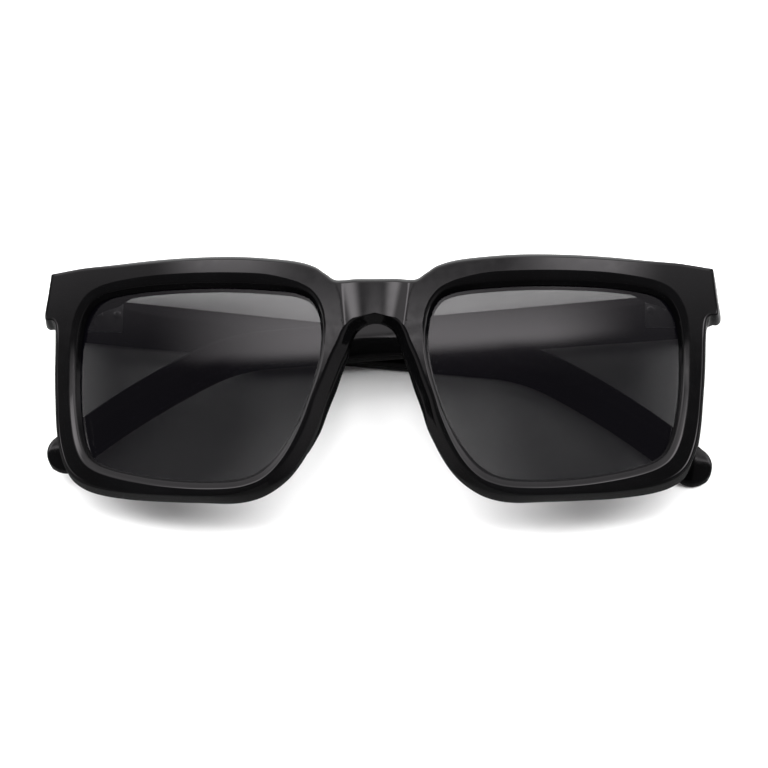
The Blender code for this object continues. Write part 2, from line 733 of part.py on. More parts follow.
def build_leaf(name, front, left, parent):
    """One hinge leaf about its axis: a plate with round knuckles, bored for the screw."""
    spans, total = knuckle_spans(front)
    half = 0.5 * total
    if front:
        # lies on the end piece's back, above the axis, and runs towards the lens
        top = HINGE_SETBACK - HINGE_CLEARANCE
        low = (-FRONT_LEAF_LENGTH, -half, top - LEAF_THICKNESS)
        high = (0.5 * KNUCKLE_RADIUS, half, top)
    else:
        # lies on the temple's lens side, below the axis, and runs along the folded temple
        bottom = -TEMPLE_OFFSET + HINGE_CLEARANCE
        low = (-TEMPLE_LEAF_LENGTH, -half, bottom)
        high = (0.5 * KNUCKLE_RADIUS, half, bottom + LEAF_THICKNESS)
    leaf = new_object(name, sided(box(low, high), left), parent, steel(name))
    for number, (start, end) in enumerate(spans):
        knuckle = turned(((KNUCKLE_RADIUS, start), (KNUCKLE_RADIUS, end)), KNUCKLE_SIDES)
        combine(leaf, helper(f"{name}_knuckle_{number}", sided(knuckle, left), parent), "UNION")
    others = knuckle_spans(not front)[0]
    reach = KNUCKLE_RADIUS + HINGE_CLEARANCE
    for number, (start, end) in enumerate(others):
        gap = turned(((reach, start - HINGE_CLEARANCE), (reach, end + HINGE_CLEARANCE)), KNUCKLE_SIDES)
        combine(leaf, helper(f"{name}_gap_{number}", sided(gap, left), parent), "DIFFERENCE")
    radius = SCREW_RADIUS + HINGE_CLEARANCE
    reach = half + HINGE_CLEARANCE
    bore = turned(((radius, -reach), (radius, reach)), SCREW_SIDES)
    combine(leaf, helper(f"{name}_bore", sided(bore, left), parent), "DIFFERENCE")
    return leaf


def build_screw(name, left, parent):
    """The hinge screw: a pin with a slotted head above the top knuckle."""
    half = 0.5 * knuckle_spans(True)[1]
    head_low = half + HINGE_CLEARANCE
    head_high = head_low + SCREW_HEAD_HEIGHT
    profile = ((SCREW_RADIUS, -half), (SCREW_RADIUS, head_low), (SCREW_HEAD_RADIUS, head_low),
               (SCREW_HEAD_RADIUS, head_high))
    screw = new_object(name, sided(turned(profile, SCREW_SIDES), left), parent, steel(name))
    slot_half = SLOT_WIDTH_SHARE * SCREW_HEAD_RADIUS
    slot_depth = SLOT_DEPTH_SHARE * SCREW_HEAD_HEIGHT
    reach = SLOT_REACH_SHARE * SCREW_HEAD_RADIUS
    slot = box((-reach, head_high - slot_depth, -slot_half), (reach, head_high + slot_depth, slot_half))
    combine(screw, helper(f"{name}_slot", slot, parent), "DIFFERENCE")


def rivet_mesh(place, head_low, direction):
    """A rivet along Z: a domed head at head_low and a shank that runs in direction."""
    rim = head_low - direction * RIVET_RIM_SHARE * RIVET_HEAD_HEIGHT
    top = head_low - direction * RIVET_HEAD_HEIGHT
    profile = (
        (RIVET_RADIUS, head_low + direction * RIVET_SHANK),
        (RIVET_RADIUS, head_low),
        (RIVET_HEAD_RADIUS, head_low),
        (RIVET_HEAD_RADIUS, rim),
        (RIVET_TOP_SHARE * RIVET_HEAD_RADIUS, top),
    )
    return turned(profile, RIVET_SIDES, place, upright=True)


def rivet_hole(place, low, high):
    """A round cutter along Z, wider than a rivet's shank by the clearance."""
    radius = RIVET_RADIUS + RIVET_CLEARANCE
    return turned(((radius, low), (radius, high)), RIVET_SIDES, place, upright=True)


def add_rivets(side, left, axis, leaf, carrier, front):
    """Rivets through one leaf into the plastic behind it, with their holes."""
    if front:
        head = HINGE_SETBACK - HINGE_CLEARANCE - LEAF_THICKNESS - RIVET_CLEARANCE
        direction = 1.0
        words = ("upper", "lower")
        distance = FRONT_LEAF_LENGTH - RIVET_EDGE
        places = [(-distance, 0.5 * FRONT_RIVET_SPACING), (-distance, -0.5 * FRONT_RIVET_SPACING)]
    else:
        head = -TEMPLE_OFFSET + HINGE_CLEARANCE + LEAF_THICKNESS + RIVET_CLEARANCE
        direction = -1.0
        words = ("far", "near")
        distance = TEMPLE_LEAF_LENGTH - RIVET_EDGE
        places = [(-distance, 0.0), (TEMPLE_RIVET_SPACING - distance, 0.0)]
    where = "front" if front else "temple"
    for word, place in zip(words, places):
        name = f"{where}_rivet_{side}_{word}"
        rivet = sided(rivet_mesh(place, head, direction), left)
        new_object(name, rivet, axis, steel(name))
        end = head + direction * (RIVET_SHANK + HINGE_CLEARANCE)
        start = head - direction * HINGE_CLEARANCE
        low, high = min(start, end), max(start, end)
        for carried in (leaf, carrier):
            hole = sided(rivet_hole(place, low, high), left)
            combine(carried, helper(f"{name}_hole_{carried.name}", hole, axis), "DIFFERENCE")


def build_side(side, root, front):
    """Everything that comes once on each side: lens, pad, hinge and temple."""
    left = side == "left"
    sign = 1.0 if left else -1.0
    lens = new_object(f"lens_{side}", sided(build_lens(1), left), root, tinted(f"lens_{side}"))
    smooth(lens, SHARP_ANGLE)
    name = f"nose_pad_{side}"
    pad = new_object(name, sided(build_nose_pad(), left), root, gloss_black(name))
    smooth(pad, SHARP_ANGLE)
    axis_height = -END_BACK_DEPTH - HINGE_SETBACK
    across = lens_middle().x + 0.5 * LENS_WIDTH + HINGE_BEYOND_LENS
    place = (sign * across, LENS_CENTRE_HEIGHT + 0.5 * LENS_HEIGHT + HINGE_ABOVE_LENS, axis_height)
    fixed_axis = new_empty(f"hinge_axis_{side}", root, place)
    temple_axis = new_empty(f"temple_axis_{side}", root, place)
    temple_axis.rotation_euler = (0.0, LEFT_FOLD_ANGLE if left else RIGHT_FOLD_ANGLE, 0.0)
    front_leaf = build_leaf(f"front_hinge_leaf_{side}", True, left, fixed_axis)
    build_screw(f"hinge_screw_{side}", left, fixed_axis)
    add_rivets(side, left, fixed_axis, front_leaf, front, True)
    # the temple is drawn running away from its hinge along +X, so the left one is turned round
    shapes = []
    for name, mesh, finish in (
        (f"temple_{side}", build_temple(), gloss_black),
        (f"temple_core_{side}", build_core(), steel),
    ):
        shapes.append(new_object(name, mirrored(mesh) if left else mesh, temple_axis, finish(name)))
        smooth(shapes[-1], TEMPLE_SHARP_ANGLE)
    temple_leaf = build_leaf(f"temple_hinge_leaf_{side}", False, left, temple_axis)
    add_rivets(side, left, temple_axis, temple_leaf, shapes[0], False)


def seat_on_origin(root):
    """Moves the pair so that the middle of its box's underside is the origin."""
    bpy.context.view_layer.update()
    corners = []
    for item in bpy.context.scene.objects:
        if item.type == "MESH" and not item.hide_render:
            corners += [item.matrix_world @ vert.co for vert in item.data.vertices]
    low = [min(corner[axis] for corner in corners) for axis in range(3)]
    high = [max(corner[axis] for corner in corners) for axis in range(3)]
    root.location.x -= 0.5 * (low[0] + high[0])
    root.location.y -= 0.5 * (low[1] + high[1])
    root.location.z -= low[2]
    bpy.context.view_layer.update()
    for item in bpy.context.scene.objects:
        if item.type == "EMPTY":
            print(item.name, [round(value, 6) for value in item.matrix_world.translation])


def main():
    clear_scene()
    root = new_empty("front_placement", None, (0.0, 0.0, 0.0))
    root.rotation_euler = (0.0, -RIGHT_FOLD_ANGLE, 0.0)
    front = new_object("front_frame", build_front(2), root, gloss_black("front_frame"))
    smooth(front, SHARP_ANGLE)
    for side in ("left", "right"):
        build_side(side, root, front)
    seat_on_origin(root)


main()
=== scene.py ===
# Looks of the rectangular full-rim sunglasses: polished black front and temples, dark lenses,
# satin steel hinges, a pale floor and soft light, seen from above and a little from the chin side.
# The front is drawn in its own frame: origin in the middle of the bridge's face, +X to the wearer's
# left, +Y to the brow, +Z out of the face. front_placement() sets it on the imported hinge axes.

import json
import math
from collections import namedtuple

import bmesh
import bpy
from mathutils import Matrix, Vector


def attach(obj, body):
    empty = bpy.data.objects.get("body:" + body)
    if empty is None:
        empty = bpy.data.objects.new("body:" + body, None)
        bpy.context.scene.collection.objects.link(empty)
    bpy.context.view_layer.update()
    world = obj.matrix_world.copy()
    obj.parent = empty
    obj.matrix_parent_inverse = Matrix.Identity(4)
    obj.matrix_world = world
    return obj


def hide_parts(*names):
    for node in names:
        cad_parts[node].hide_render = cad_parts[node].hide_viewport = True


MM = 0.001

# Front, as in the construction
LENS_WIDTH = 53.0 * MM
LENS_HEIGHT = 44.4 * MM
BRIDGE_GAP = 22.9 * MM
LENS_CENTRE_HEIGHT = 2.6 * MM
LENS_THICKNESS = 1.8 * MM
LENS_CLEARANCE = 0.3 * MM
FRONT_CURVE_RADIUS = 196.0 * MM
RIM_TOP = 7.0 * MM
RIM_SIDE = 5.7 * MM
RIM_BOTTOM = 4.2 * MM
RIM_NOSE = 2.6 * MM
RIM_DEPTH = 5.4 * MM
BEVEL_WIDTH = 2.3 * MM
BEVEL_NOSE_WIDTH = 0.9 * MM
BEVEL_DEPTH = 2.4 * MM
GROOVE_DEPTH = 0.9 * MM
EDGE_TOP_ROUNDING = 1.6 * MM
EDGE_SIDE_ROUNDING = 0.8 * MM
EDGE_BOTTOM_ROUNDING = 0.6 * MM
BACK_ROUNDING = 0.6 * MM
LAND_WIDTH = 1.3 * MM
WALL_FLARE = 2.2 * MM
END_BACK_DEPTH = 20.5 * MM
HINGE_SETBACK = 2.0 * MM
HINGE_ABOVE_LENS = 0.5 * MM
SADDLE_DEPTH = 1.5 * MM
SADDLE_LOW_HALF_WIDTH = 5.0 * MM
SADDLE_HIGH_HALF_WIDTH = 7.6 * MM

# Small roundings that only this finer front has
RIDGE_ROUNDING = 0.35 * MM
CREASE_ROUNDING = 0.35 * MM

# Temples, measured along the folded temple from the hinge axis
TEMPLE_STRAIGHT = 92.5 * MM
TEMPLE_BEND_RADIUS = 36.0 * MM
TEMPLE_BEND_ANGLE = math.radians(23.0)
TEMPLE_TIP_LENGTH = 40.0 * MM
TEMPLE_TIP_CURL = math.radians(14.0)
TEMPLE_DROP_ANGLE = math.radians(5.6)
TEMPLE_ROOT_HEIGHT = 9.8 * MM
TEMPLE_WAIST_HEIGHT = 8.4 * MM
TEMPLE_TIP_HEIGHT = 8.6 * MM
TEMPLE_ROOT_THICKNESS = 3.8 * MM
TEMPLE_TIP_THICKNESS = 3.0 * MM
TEMPLE_OFFSET = 2.3 * MM
TEMPLE_ROOT_REACH = 1.7 * MM
TEMPLE_CORNER = 0.9 * MM

# Nose pads, seated on the back of the rim. The shares place the pad's nose and heel: depths as
# shares of its depth, and its reach and lap at the heel as shares of the full ones.
PAD_REACH = 0.3 * MM
PAD_DEPTH = 4.2 * MM
PAD_LAP = 2.6 * MM
PAD_CLEARANCE = 0.3 * MM
PAD_NOSE_DEPTH_SHARE = 0.35
PAD_HEEL_REACH_SHARE = 0.8
PAD_HEEL_LAP_SHARE = 0.3

# Rest angles of the folded temples against the front's chord
RIGHT_FOLD_ANGLE = math.radians(1.6)
LEFT_FOLD_ANGLE = math.radians(2.9)

# Camera: its tilt towards the chin, its yaw to the wearer's left, its roll and its distance
CAMERA_TILT = math.radians(20.0)
CAMERA_YAW = math.radians(4.26)
CAMERA_ROLL = math.radians(1.13)
CAMERA_DISTANCE = 700.0 * MM
CAMERA_AIM = 2.375 * MM
CAMERA_SENSOR = 36.0
CAMERA_LENS = 156.1

# The lamps, which the gloss doesn't see: a row overhead and one on the brow side. Their tilt
# sideways and to the brow and their spread are in degrees.
TOP_LIGHT = 1.55
TOP_LEAN = 3.0
TOP_PLACES = (-40.0, -20.0, 0.0, 20.0, 40.0)
TOP_SPREAD = 20.0
BROW_LIGHT = 2.9
BROW_LEAN = 50.0
BROW_SPREAD = 45.0

# Brightness of the tent, where white paper in plain light is about 1: as the camera sees it, as the
# matt surfaces do, and the parts of it that the gloss sees
WHITE_LIGHT = 1.1
DOME_LIGHT = 0.15
PANEL_LIGHT = 2.4
STRIP_LIGHT = 3.0
GLOW_LIGHT = 0.5
HAZE_LIGHT = 0.5
ROOM_LIGHT = 0.25
BASE_LIGHT = 0.06
STUDIO_TINT = (1.01, 0.965, 0.995, 1.0)

# Where those parts lie, in degrees, each edge from nothing to full: across to the wearer's left,
# above to the brow, aside either way from the strips' middle, which is LIGHT_LEAN to the wearer's
# right, and down from the top. The panel's lower edge rises by PANEL_SLANT for each degree across.
LIGHT_LEAN = 1.6
PANEL_SLANT = 0.0095
PANEL_ACROSS = ((-40.0, -12.0), (33.0, 17.0))
PANEL_LOWER_EDGE = (20.47, 20.73)
PANEL_UPPER_EDGE = (21.95, 20.75)
STRIPS_ASIDE = ((13.0, 26.0), (38.0, 29.0))
STRIPS_ABOVE = ((21.6, 22.1), (34.0, 25.0))
GLOW_ABOVE = ((22.4, 24.0), (60.0, 40.0))
HAZE_ABOVE = (20.0, 22.5)
ROOM_FROM_TOP = (48.0, 75.0)
ROOM_ABOVE = (-60.0, 10.0)

# How much of the floor's brightness the gloss shows, the rest being painted shade in the
# reflections:
# on the chin side and beyond the brow, and the places along Y, in metres, between which it changes
CHIN_FLOOR = 0.05
BROW_FLOOR = 0.4
FLOOR_CHANGE = (0.05, 0.0)
FLOOR_HALF_SIZE = 3.0

# Materials: each grain's scale and detail, then colours and roughness as (place in it, value)
PLASTIC_HAZE = (90.0, 4.0)
PLASTIC_RUBBING = (420.0, 6.0)
PLASTIC_COLOURS = ((0.35, (0.0009, 0.0009, 0.0010)), (0.7, (0.0016, 0.0016, 0.0018)))
PLASTIC_ROUGHNESS = ((0.3, (0.04,) * 3), (0.75, (0.09,) * 3))
PLASTIC_IOR = 1.5
LENS_CLOUD = (30.0, 3.0)
LENS_COLOURS = ((0.3, (0.0008, 0.0007, 0.0012)), (0.7, (0.0012, 0.0011, 0.0018)))
LENS_ROUGHNESS = 0.02
LENS_IOR = 1.52
LENS_ALPHA = 0.71
LENS_GLOSS = 0.72
STEEL_GRAIN = (5000.0, 4.0)
STEEL_COLOURS = ((0.3, (0.50, 0.50, 0.51)), (0.7, (0.58, 0.58, 0.59)))
STEEL_ROUGHNESS = ((0.3, (0.30,) * 3), (0.7, (0.38,) * 3))
STEEL_METALLIC = 0.85
PAPER_MOTTLE = (8.0, 3.0)
PAPER_COLOURS = ((0.3, (0.88, 0.88, 0.88)), (0.7, (0.9, 0.9, 0.9)))
PAPER_ROUGHNESS = 0.9

# Fineness of the visible shapes
RIM_STEPS = 8
NORMAL_SMOOTHING = 12
FACE_COLUMNS = 40
BEVEL_COLUMNS = 12
RIDGE_STEPS = 6
EDGE_STEPS = 10
BACK_STEPS = 3
LENS_RINGS = 20
PAD_NOSE_STEPS = 5
PAD_HEEL_STEPS = 7
TEMPLE_STEPS = 110
TEMPLE_CORNER_STEPS = 6
TEMPLE_END_STEPS = 14
TEMPLE_END_TURN = math.radians(86.0)
SHARP_ANGLE = math.radians(40.0)

# How near the middle line a point counts as on it
MIDDLE_TOLERANCE = 1e-9

# Each row is one station round a lens: the opening's x and y as shares of half its width and
# height about its centre, then the outer edge's x and y. A rim row gives those two as shares of
# the rim widths, from the opening outwards. A bridge row gives x as a share of half the bridge
# gap and y as a share of half the lens height.
BRIDGE_TOP_SHARES = (
    (-0.989, 0.586, 0.00, 1.02),
    (-0.975, 0.649, 0.37, 1.013),
    (-0.949, 0.725, 0.72, 0.985),
    (-0.904, 0.802, 0.94, 1.05),
)
RIM_SHARES = (
    (-0.843, 0.847, -0.92, 0.90),
    (-0.734, 0.887, -0.54, 0.97),
    (-0.526, 0.923, -0.19, 1.01),
    (-0.262, 0.959, 0.00, 1.02),
    (0.058, 0.986, 0.09, 1.01),
    (0.379, 1.000, 0.18, 1.00),
    (0.606, 0.995, 0.61, 1.00),
    (0.768, 0.977, 1.18, 1.03),
    (0.847, 0.950, 1.72, 1.09),
    (0.892, 0.919, 1.82, 1.16),
    (0.926, 0.874, 1.71, 1.11),
    (0.960, 0.797, 1.63, 0.74),
    (0.979, 0.716, 1.61, 0.46),
    (0.987, 0.658, 1.51, 0.47),
    (0.992, 0.613, 1.24, 0.56),
    (0.996, 0.559, 1.09, 0.51),
    (1.000, 0.446, 1.02, 0.29),
    (0.998, 0.218, 0.99, 0.08),
    (0.987, -0.029, 0.96, -0.11),
    (0.960, -0.277, 0.98, -0.30),
    (0.923, -0.477, 0.98, -0.48),
    (0.866, -0.631, 0.93, -0.76),
    (0.783, -0.725, 0.79, -1.00),
    (0.658, -0.797, 0.56, -1.14),
    (0.474, -0.869, 0.18, -1.17),
    (0.228, -0.941, 0.00, -1.05),
    (-0.055, -0.989, 0.00, -0.98),
    (-0.300, -1.000, -0.19, -0.98),
    (-0.443, -0.973, -0.58, -0.86),
    (-0.549, -0.910, -0.85, -0.64),
    (-0.647, -0.802, -1.00, -0.43),
    (-0.745, -0.635, -1.08, -0.19),
    (-0.832, -0.432, -1.00, -0.05),
    (-0.896, -0.230, -0.88, 0.01),
    (-0.949, -0.027, -1.00, 0.00),
)
BRIDGE_ARCH_SHARES = (
    (-0.983, 0.153, 0.75, 0.17),
    (-0.996, 0.270, 0.62, 0.32),
    (-1.000, 0.342, 0.535, 0.43),
    (-1.002, 0.396, 0.41, 0.525),
    (-1.002, 0.441, 0.22, 0.588),
    (-1.000, 0.482, 0.00, 0.61),
    (-0.996, 0.518, 0.00, 0.73),
    (-0.992, 0.554, 0.00, 0.85),
)
# Stations of the end piece, whose back reaches the hinge, as shares of its full depth
END_FIRST_STATION = 10
END_DEPTH_SHARES = (0.35, 1.0, 1.0, 1.0, 1.0, 1.0, 1.0, 0.9, 0.6, 0.25)
# How far the outer wall leans outwards towards its back, as shares of its full flare
END_FLARE_STATION = 13
END_FLARE_SHARES = (0.2, 0.3, 0.3, 0.3, 0.1)
NOSE_FLARE_STATION = 31
NOSE_FLARE_SHARES = (
    0.15, 0.35, 0.6, 0.8, 0.88, 0.88, 0.85, 0.8, 0.77, 0.74, 0.66, 0.52, 0.38, 0.32,
)
# The bevel narrows to the nose: where it starts to, and over how much, as shares of half the width
BEVEL_NARROW_SHARE = 0.55
BEVEL_NARROW_RUN_SHARE = 0.35
# The bevel's knee, between its gentle and its steep part: shares of its width and of its depth
KNEE_WIDTH_SHARE = 0.40
KNEE_DEPTH_SHARE = 0.74
# Where the knee's rounding starts and ends, as shares of the way to the knee and on from it
KNEE_START_SHARE = 0.6
KNEE_END_SHARE = 0.4
# The most of the bevel and of the face that the ridge's rounding may take
RIDGE_BEVEL_SHARE = 0.4
RIDGE_FACE_SHARE = 0.5
# The face's outer edge in EDGE_STEPS steps outwards and downwards: as a long soft bevel along the
# top, and as a slanting flank beside the nose. Elsewhere it is a plain quarter round.
TOP_EDGE_SHARES = (
    (0.03, 0.002), (0.07, 0.010), (0.12, 0.03), (0.27, 0.117), (0.43, 0.221),
    (0.57, 0.335), (0.70, 0.457), (0.91, 0.724), (0.98, 0.867), (1.00, 1.00),
)
FLANK_EDGE_SHARES = (
    (0.10, 0.02), (0.20, 0.08), (0.32, 0.20), (0.44, 0.35), (0.56, 0.50),
    (0.68, 0.64), (0.80, 0.78), (0.90, 0.89), (0.97, 0.96), (1.00, 1.00),
)
TOP_EDGE_DROP = 2.2 * MM
FLANK_DROP = 2.3 * MM
# Stations of the slanting flank, with how fully each has it
FLANK_FIRST_STATION = 31
FLANK_SHARES = (0.2, 0.5, 0.8, 1.0, 1.0, 1.0, 1.0, 1.0, 1.0, 1.0, 1.0, 1.0, 1.0, 1.0)
# How much of the edge's rounding the end piece's sharper edge loses
END_SHARPENING_SHARE = 0.5
# Stations that carry the nose pad, with the pad's size at each as shares of its full size
PAD_FIRST_STATION = 35
PAD_SIZE_SHARES = (0.35, 0.8, 1.0, 1.0, 0.85, 0.6, 0.35)

# One place round a lens: the opening's and the outer edge's point, the bevel's width, the share of
# the end piece's depth, how far the wall leans out, and the share of the slanting flank
Station = namedtuple("Station", "inner_x inner_y outer_x outer_y bevel end_share flare flank")


def new_piece(name, mesh, material, body, replaced=()):
    """Links a mesh as a piece that rides on a body and stands for CAD nodes."""
    data = bpy.data.meshes.new(name)
    mesh.to_mesh(data)
    mesh.free()
    piece = bpy.data.objects.new(name, data)
    bpy.context.scene.collection.objects.link(piece)
    data.materials.append(material)
    data.shade_smooth()
    data.set_sharp_from_angle(angle=SHARP_ANGLE)
    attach(piece, body)
    if replaced:
        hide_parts(*replaced)
    return piece


def spline_value(before, start, end, after, share):
    """A Catmull-Rom reading between start and end of four tuples of numbers."""
    square = share * share
    cube = square * share
    reading = []
    for a, b, c, d in zip(before, start, end, after):
        bend = (2.0 * a - 5.0 * b + 4.0 * c - d) * square + (3.0 * b - a - 3.0 * c + d) * cube
        reading.append(b + 0.5 * ((c - a) * share + bend))
    return reading


def between(start, end, share):
    return start + (end - start) * share


def clamped(share):
    return min(1.0, max(0.0, share))


def face_height(x):
    """Height of the curved front face at x, zero at the bridge and falling to the sides."""
    return math.sqrt(FRONT_CURVE_RADIUS ** 2 - x * x) - FRONT_CURVE_RADIUS


def lens_middle():
    """Centre of the wearer's left lens opening."""
    return Vector((0.5 * (BRIDGE_GAP + LENS_WIDTH), LENS_CENTRE_HEIGHT))


def surface_height(point):
    """Height of the face, with the hollow panel up the middle of the bridge and its soft crease."""
    height = face_height(point.x)
    if point.y <= LENS_CENTRE_HEIGHT:
        return height
    share = (point.y - LENS_CENTRE_HEIGHT) / (0.5 * LENS_HEIGHT)
    half = between(SADDLE_LOW_HALF_WIDTH, SADDLE_HIGH_HALF_WIDTH, share)
    aside = abs(point.x)
    if aside >= half + CREASE_ROUNDING:
        return height
    slope = 2.0 * SADDLE_DEPTH / half
    if aside > half - CREASE_ROUNDING:
        return height - slope * (half + CREASE_ROUNDING - aside) ** 2 / (4.0 * CREASE_ROUNDING)
    return height - SADDLE_DEPTH * (1.0 - (aside / half) ** 2)


def edge_rounding(outer_normal, end_share):
    """Radius of the face's outer edge, which depends on the side that it faces."""
    facing = EDGE_TOP_ROUNDING if outer_normal.y > 0.0 else EDGE_BOTTOM_ROUNDING
    rounding = between(EDGE_SIDE_ROUNDING, facing, outer_normal.y ** 2)
    return rounding * (1.0 - END_SHARPENING_SHARE * end_share)


def share_at(number, first, shares):
    """The share that a table, which starts at station first, holds for a station, or zero."""
    place = number - first
    return shares[place] if 0 <= place < len(shares) else 0.0


def station_points():
    """The stations round the wearer's left lens, clockwise from the top of the bridge."""
    centre_x = lens_middle().x
    half_width = 0.5 * LENS_WIDTH
    half_height = 0.5 * LENS_HEIGHT
    rows = [(row, True) for row in BRIDGE_TOP_SHARES]
    rows += [(row, False) for row in RIM_SHARES]
    rows += [(row, True) for row in BRIDGE_ARCH_SHARES]
    stations = []
    for number, ((across, up, out_x, out_y), bridge) in enumerate(rows):
        inner_x = centre_x + across * half_width
        inner_y = LENS_CENTRE_HEIGHT + up * half_height
        if bridge:
            outer_x = out_x * 0.5 * BRIDGE_GAP
            outer_y = LENS_CENTRE_HEIGHT + out_y * half_height
        else:
            outer_x = inner_x + out_x * (RIM_SIDE if out_x > 0.0 else RIM_NOSE)
            outer_y = inner_y + out_y * (RIM_TOP if out_y > 0.0 else RIM_BOTTOM)
        nose_share = clamped((-across - BEVEL_NARROW_SHARE) / BEVEL_NARROW_RUN_SHARE)
        flare = share_at(number, END_FLARE_STATION, END_FLARE_SHARES)
        flare += share_at(number, NOSE_FLARE_STATION, NOSE_FLARE_SHARES)
        stations.append(Station(
            inner_x, inner_y, outer_x, outer_y,
            bevel=between(BEVEL_WIDTH, BEVEL_NOSE_WIDTH, nose_share),
            end_share=share_at(number, END_FIRST_STATION, END_DEPTH_SHARES),
            flare=flare * WALL_FLARE,
            flank=share_at(number, FLANK_FIRST_STATION, FLANK_SHARES),
        ))
    return stations


def reflected(beside, other):
    """A station beside the middle line, with its outer edge as the other half continues it."""
    return beside._replace(
        inner_x=other.inner_x, inner_y=other.inner_y, outer_x=-beside.outer_x, bevel=other.bevel
    )


def resample(stations, steps):
    """The stations with more between them on smooth curves; those on the middle line stay on it."""
    result = []
    count = len(stations)
    for index in range(count):
        before, start, end, after = (stations[(index + step) % count] for step in (-1, 0, 1, 2))
        start_on_middle = start.outer_x == 0.0
        end_on_middle = end.outer_x == 0.0
        if start_on_middle and not end_on_middle:
            before = reflected(end, before)
        if end_on_middle and not start_on_middle:
            after = reflected(start, after)
        for step in range(steps):
            reading = Station(*spline_value(before, start, end, after, step / steps))
            if start_on_middle and (end_on_middle or step == 0):
                reading = reading._replace(outer_x=0.0)
            result.append(reading._replace(
                end_share=clamped(reading.end_share), flare=max(0.0, reading.flare)
            ))
    return result


def outward_normals(points, middle_ends=()):
    """Unit normals of a closed clockwise outline. With middle_ends, which gives some places' upward
    or downward normal, the others are smoothed between them."""
    count = len(points)
    normals = []
    for index in range(count):
        before, after = points[index - 1], points[(index + 1) % count]
        along = Vector((after[0] - before[0], after[1] - before[1])).normalized()
        normals.append(Vector((-along.y, along.x)))
    fixed = dict(middle_ends)
    for _ in range(NORMAL_SMOOTHING if fixed else 0):
        for index, direction in fixed.items():
            normals[index] = Vector((0.0, direction))
        normals = [
            (normals[index - 1] + normals[index] * 2.0 + normals[(index + 1) % count]).normalized()
            for index in range(count)
        ]
    for index, direction in fixed.items():
        normals[index] = Vector((0.0, direction))
    return normals


def curve_through(start, control, end, steps):
    """Points of a quadratic curve from start to end, without its first one."""
    points = []
    for step in range(1, steps + 1):
        share = step / steps
        rest = 1.0 - share
        sides = start * (rest * rest) + control * (2.0 * rest * share)
        points.append(sides + end * (share * share))
    return points


def raised(point, height):
    return Vector((point.x, point.y, height))


def edge_curve(rounding, outer_normal, row):
    """The face's outer edge from the face to the wall: steps outwards and downwards."""
    turns = [0.5 * math.pi * step / EDGE_STEPS for step in range(1, EDGE_STEPS + 1)]
    quarter_round = [(math.sin(turn), 1.0 - math.cos(turn)) for turn in turns]
    high = max(0.0, outer_normal.y) ** 2 * (1.0 - row.end_share)
    flank = clamped(row.flank)
    shapes = (
        (1.0 - high - flank, quarter_round, rounding, rounding),
        (high, TOP_EDGE_SHARES, rounding, TOP_EDGE_DROP),
        (flank, FLANK_EDGE_SHARES, rounding + row.flare, FLANK_DROP),
    )
    steps = []
    for number in range(EDGE_STEPS):
        across = sum(weight * wide * shares[number][0] for weight, shares, wide, deep in shapes)
        down = sum(weight * deep * shares[number][1] for weight, shares, wide, deep in shapes)
        steps.append((across, down))
    return steps


